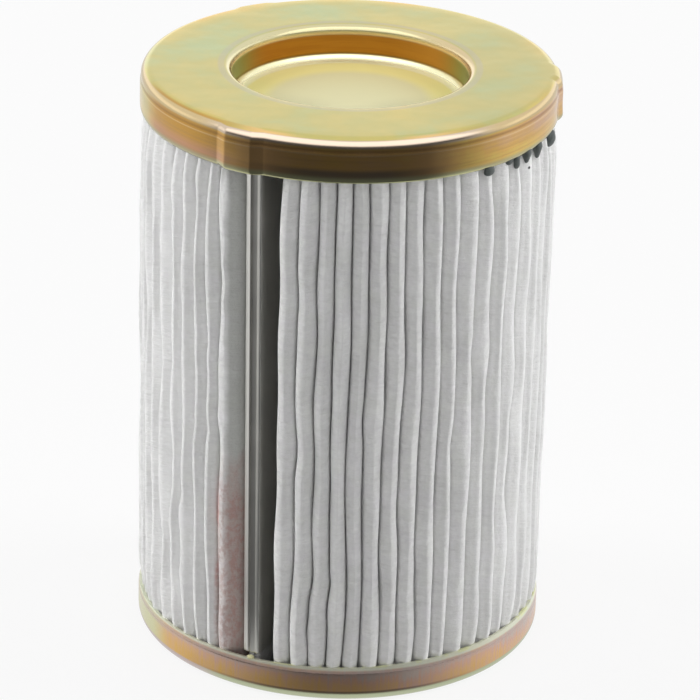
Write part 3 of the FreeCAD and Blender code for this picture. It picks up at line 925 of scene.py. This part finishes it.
def pleat_pack(material):
    """The whole fleece as one closed sheet: pleated outer face, plainer inner face."""
    heights = np.linspace(PACK_LOW, PACK_HIGH, PACK_ROWS)
    outlines = pack_outlines(heights)
    count = len(outlines[0])
    points = []
    for z, outline in zip(heights, outlines):
        points += [at_bearing(radius, z, bearing) for bearing, radius in outline]
    picks = [round(i * (PACK_ROWS - 1) / (INNER_ROWS - 1)) for i in range(INNER_ROWS)]
    for pick in picks:
        points += [(x, y, heights[pick]) for x, y in inner_outline(outlines[pick])]
    faces = []
    inner = PACK_ROWS * count
    top = inner - count
    inner_top = inner + (INNER_ROWS - 1) * count
    for low in range(PACK_ROWS - 1):
        for i in range(count - 1):
            a = low * count + i
            faces.append((a, a + 1, a + 1 + count, a + count))
    for low in range(INNER_ROWS - 1):
        for i in range(count - 1):
            a = inner + low * count + i
            faces.append((a + count, a + 1 + count, a + 1, a))
    for i in range(count - 1):
        faces.append((inner + i, inner + i + 1, i + 1, i))
        faces.append((top + i, top + i + 1, inner_top + i + 1, inner_top + i))
    for i in (0, count - 1):
        outer_edge = [row * count + i for row in range(PACK_ROWS)]
        inner_edge = [inner + row * count + i for row in range(INNER_ROWS)]
        faces.append(tuple(outer_edge + inner_edge[::-1]))
    return make_piece("fleece_pleats", points, faces, material, math.radians(80))


# Seam clip

def seam_clip(material):
    """Folded strip over the fleece's free ends, with two ridges down its nose."""
    wide, narrow, groove = CLIP_WIDE_RIDGE, CLIP_NARROW_RIDGE, CLIP_GROOVE_BEND
    floor = CLIP_NOSE - CLIP_GROOVE_DEPTH
    wide_drop = (wide - 2 * CLIP_BEND) * math.tan(CLIP_WIDE_SLANT)
    narrow_drop = (narrow - 2 * CLIP_BEND) * math.tan(CLIP_NARROW_SLANT)
    top = CLIP_NOSE - CLIP_BEND
    bends = [
        (-CLIP_HALF, CLIP_LEGS_END, 0.0, LEFT),
        (-CLIP_HALF + CLIP_BEND, top - wide_drop, CLIP_BEND, RIGHT),
        (-CLIP_HALF + wide - CLIP_BEND, top, CLIP_BEND, RIGHT),
        (-CLIP_HALF + wide + groove, floor + groove, groove, LEFT),
        (CLIP_HALF - narrow - groove, floor + groove, groove, LEFT),
        (CLIP_HALF - narrow + CLIP_BEND, top - narrow_drop, CLIP_BEND, RIGHT),
        (CLIP_HALF - CLIP_BEND, top, CLIP_BEND, RIGHT),
        (CLIP_HALF, CLIP_LEGS_END, 0.0, LEFT),
    ]
    profile = divided(bent_line(bends, 0.0, math.radians(15)), 3.0)
    profile += reversed(divided(bent_line(bends, -CLIP_SHEET, math.radians(15)), 3.0))
    ends = [CLIP_END_ROUND * (1 - math.cos(math.radians(a))) for a in range(0, 91, 15)]
    heights = [CLIP_LOW + e for e in ends]
    heights += list(np.linspace(CLIP_LOW + 6, CLIP_HIGH - 6, 40))
    heights += [CLIP_HIGH - e for e in reversed(ends)]
    points = []
    for z in heights:
        turn = math.radians(seam_bearing(z))
        edge = min(z - CLIP_LOW, CLIP_HIGH - z)
        trim = 0.0
        if edge < CLIP_END_ROUND:
            trim = CLIP_END_ROUND - math.sqrt(CLIP_END_ROUND ** 2 - (CLIP_END_ROUND - edge) ** 2)
        for across, out in profile:
            out = min(out, CLIP_NOSE - trim) if out > CLIP_NOSE - 2 * CLIP_END_ROUND else out
            x = across * math.cos(turn) + out * math.sin(turn)
            y = across * math.sin(turn) - out * math.cos(turn)
            points.append((x, y, z))
    size = len(profile)
    faces = []
    for i in range(len(heights) - 1):
        for j in range(size):
            a, b = i * size + j, i * size + (j + 1) % size
            faces.append((a, b, b + size, a + size))
    top = (len(heights) - 1) * size
    faces.append(tuple(range(size)))
    faces.append(tuple(top + j for j in reversed(range(size))))
    return make_piece("seam_strip", points, faces, material)


# Glue that shows: bearing, width, drop and thickness of each lump

GLUE_RUNS = [
    (41.7, 3.7, 2.4, 0.9),
    (49.6, 2.4, 1.3, 0.6),
    (53.0, 3.5, 3.4, 1.2),
    (58.0, 3.6, 3.3, 1.3),
    (64.4, 3.9, 3.9, 1.4),
    (75.0, 3.9, 4.3, 1.3),
]
GLUE_RUN_RADIUS = 58.9
GLUE_DROP = (-24.6, 1.8, 1.3, 0.7)
GLUE_DROP_RADIUS = 59.2


def glue_bead(bearing, width, drop, thickness, top, radius, rng):
    """One lump of set compound that hangs from a height against the pleats."""
    points, faces = [], []
    rings, spokes = 10, 16
    for i in range(rings + 1):
        share = i / rings
        down = math.cos(math.pi * share)
        swell = math.sin(math.pi * share) * (1.0 + 0.35 * math.sin(math.pi * share * 1.3 + bearing))
        for j in range(spokes):
            turn = 2 * math.pi * j / spokes
            wobble = 1 + rng.uniform(-0.06, 0.06)
            across = 0.5 * width * swell * math.cos(turn) * wobble
            out = thickness * swell * math.sin(turn) * wobble
            points.append(at_bearing(radius + out, top - 0.5 * drop * (1 - down),
                                     bearing + math.degrees(across / radius)))
    for i in range(rings):
        for j in range(spokes):
            k = (j + 1) % spokes
            faces.append((i * spokes + j, i * spokes + k, (i + 1) * spokes + k, (i + 1) * spokes + j))
    return points, faces


def glue_runs(material):
    """Dark compound squeezed out between the pleats under the top cap's right side."""
    rng = np.random.default_rng(SEED + 3)
    points, faces = [], []
    for bearing, width, drop, thickness in GLUE_RUNS:
        more, shapes = glue_bead(bearing, width, drop + 1.5, thickness,
                                 HEIGHT - TOP_SKIRT + 1.2, GLUE_RUN_RADIUS, rng)
        faces += [tuple(i + len(points) for i in face) for face in shapes]
        points += more
    return make_piece("glue_runs", points, faces, material)


def glue_drop(material):
    """Pale drop of compound on the bottom cap's lip, under the seam clip."""
    rng = np.random.default_rng(SEED + 4)
    points, faces = glue_bead(*GLUE_DROP, BOTTOM_SKIRT + 0.5, GLUE_DROP_RADIUS, rng)
    return make_piece("glue_drop", points, faces, material)


# Stage

def white_floor():
    """Floor that reads white and keeps the cartridge's shadow; metal sees the studio in it.

    In metal the floor glows with a painted pattern of light: dark towards the photographer,
    pale at the sides, and bright where it meets the bottom cap.
    """
    mesh = bpy.data.meshes.new("floor")
    mesh.from_pydata([(-6, -6, 0), (6, -6, 0), (6, 6, 0), (-6, 6, 0)], [], [(0, 1, 2, 3)])
    floor = bpy.data.objects.new("floor", mesh)
    bpy.context.scene.collection.objects.link(floor)
    material, paint, shader = new_finish("studio_floor")
    mesh.materials.append(material)
    shader.inputs["Base Color"].default_value = (0.80, 0.80, 0.80, 1.0)
    shader.inputs["Roughness"].default_value = 0.9
    shader.inputs["Specular IOR Level"].default_value = 0.0

    x, y, z = paint.place()
    radius, bearing = around(x, y)
    turn = abs(bearing) * math.degrees(1)
    # Painted light: the pattern the floor glows with, for glossy rays only.
    far = 0.085 + paint.step(turn, 38.0, 100.0) * 0.80
    near = 0.20 + paint.step(turn, 4.0, 66.0) * 0.68
    level = near + (far - near) * paint.step(radius, 82.0, 90.0)
    level = level + (0.85 - level) * paint.step(radius, 64.0, 61.5)
    pattern = paint.mix(level, (0.0, 0.0, 0.0), (1.0, 1.0, 1.0))

    light = paint.node("ShaderNodeLightPath", output=None)
    seen = Wire(paint, light.outputs["Is Camera Ray"])
    mirrored = Wire(paint, light.outputs["Is Glossy Ray"])
    white = paint.node("ShaderNodeEmission", values={"Color": (1.0, 1.0, 1.0), "Strength": 1.0})
    glossy_glow = paint.node("ShaderNodeEmission", values={"Color": pattern, "Strength": 1.0})
    lit = paint.node("ShaderNodeMixShader", values={
        0: seen * 0.86, 1: Wire(paint, shader.outputs[0]), 2: white})
    whole = paint.node("ShaderNodeMixShader", values={0: mirrored, 1: lit, 2: glossy_glow})
    paint.feed(material.node_tree.nodes["Material Output"].inputs["Surface"], whole)


def studio_air():
    """White background, soft light from the sides, and for metal a studio dark in front.

    A ray's turn is its bearing from the photographer's side, in degrees to either side.
    """
    world = bpy.data.worlds.new("studio_air")
    bpy.context.scene.world = world
    world.use_nodes = True
    sky = Paint(world.node_tree)
    ray = sky.node("ShaderNodeTexCoord", output="Generated")
    split = sky.node("ShaderNodeSeparateXYZ", values={0: ray}, output=None)
    x, y, z = [Wire(sky, split.outputs[axis]) for axis in range(3)]
    turn = x.math("ARCTAN2", abs(x), 0 - y) * math.degrees(1)
    overhead = sky.step(z, 0.76, 0.83)

    horizon = sky.step(turn, 84.0, 60.0) * sky.step(z, 0.32, 0.12)
    key_panel = sky.step(0 - y, 0.05, 0.30) * sky.step(z, 0.22, 0.46) * sky.step(z, 0.95, 0.88)
    far_panel = sky.step(turn, 84.0, 100.0) * sky.step(z, 0.34, 0.20)
    mirrored = 1.0 - horizon * 0.88 + key_panel * 0.8 + far_panel * 0.35

    panels = sky.band(turn, 84.0, 112.0, 8.0)
    soft = 0.34 + panels * 5.0 + sky.step(turn, 112.0, 140.0) * 0.10
    soft = soft + (0.60 - soft) * overhead

    light = sky.node("ShaderNodeLightPath", output=None)
    seen = Wire(sky, light.outputs["Is Camera Ray"])
    glossy = Wire(sky, light.outputs["Is Glossy Ray"])
    level = soft + (mirrored - soft) * glossy
    level = level + (1.0 - level) * seen
    background = world.node_tree.nodes["Background"]
    sky.feed(background.inputs["Strength"], level)
    background.inputs["Color"].default_value = (1.0, 1.0, 1.0, 1.0)


def studio():
    white_floor()
    studio_air()


def camera():
    """Camera at the photograph's place, with its small roll."""
    tilt = math.radians(CAMERA_TILT)
    roll = math.radians(CAMERA_ROLL)
    yaw = math.radians(CAMERA_YAW)
    position = Vector((0, -CAMERA_DISTANCE * math.cos(tilt),
                       CAMERA_AIM_HEIGHT + CAMERA_DISTANCE * math.sin(tilt))) * MM
    ahead = Vector((0, math.cos(tilt), -math.sin(tilt)))
    right = Vector((1, 0, 0))
    up = right.cross(ahead)
    ahead, right = (ahead * math.cos(yaw) + right * math.sin(yaw),
                    right * math.cos(yaw) - ahead * math.sin(yaw))
    right, up = right * math.cos(roll) + up * math.sin(roll), up * math.cos(roll) - right * math.sin(roll)
    lens = bpy.data.cameras.new("photo_camera")
    lens.sensor_fit = "HORIZONTAL"
    lens.sensor_width = SENSOR_WIDTH
    lens.lens = FOCAL_PIXELS / FRAME_PIXELS * SENSOR_WIDTH
    lens.clip_start = 0.01
    rig = bpy.data.objects.new("photo_camera", lens)
    bpy.context.scene.collection.objects.link(rig)
    rig.matrix_world = Matrix((
        (right.x, up.x, -ahead.x, position.x),
        (right.y, up.y, -ahead.y, position.y),
        (right.z, up.z, -ahead.z, position.z),
        (0, 0, 0, 1),
    ))
    bpy.context.scene.camera = rig
    bpy.context.scene.view_settings.view_transform = "Standard"


def main():
    camera()
    studio()
    top = chromate("top_chromate", top_film, top_dullness, 0.10, top_wear_and_painted_light)
    bottom = chromate("bottom_chromate", bottom_film, bottom_dullness, 0.45, bottom_tints_and_shade)
    fleece = fleece_finish()
    strip = strip_steel_finish("clip_steel", (0.88, 0.87, 0.82), 0.24)
    tube = strip_steel_finish("tube_steel", (0.60, 0.60, 0.59), 0.30)
    compound = compound_finish("dark_compound", (0.03, 0.04, 0.04), (0.13, 0.15, 0.14), 0.35)
    pale = compound_finish("pale_compound", (0.55, 0.52, 0.25), (0.75, 0.74, 0.45), 0.3)

    install(top_cap(top), "chromated_steel", "top_cap")
    install(bottom_cap(bottom), "chromated_steel", "bottom_cap")
    install(pleat_pack(fleece), "fleece", "pleat_pack")
    install(seam_clip(strip), "strip_steel", "seam_clip")
    install(glue_runs(compound), "potting")
    install(glue_drop(pale), "potting")

    plain = {
        "core_tube": tube,
        "seal_ring": rubber_finish(),
        "top_bond": compound,
        "bottom_bond": compound,
    }
    for node, material in plain.items():
        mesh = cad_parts[node].data
        mesh.materials.clear()
        mesh.materials.append(material)


main()
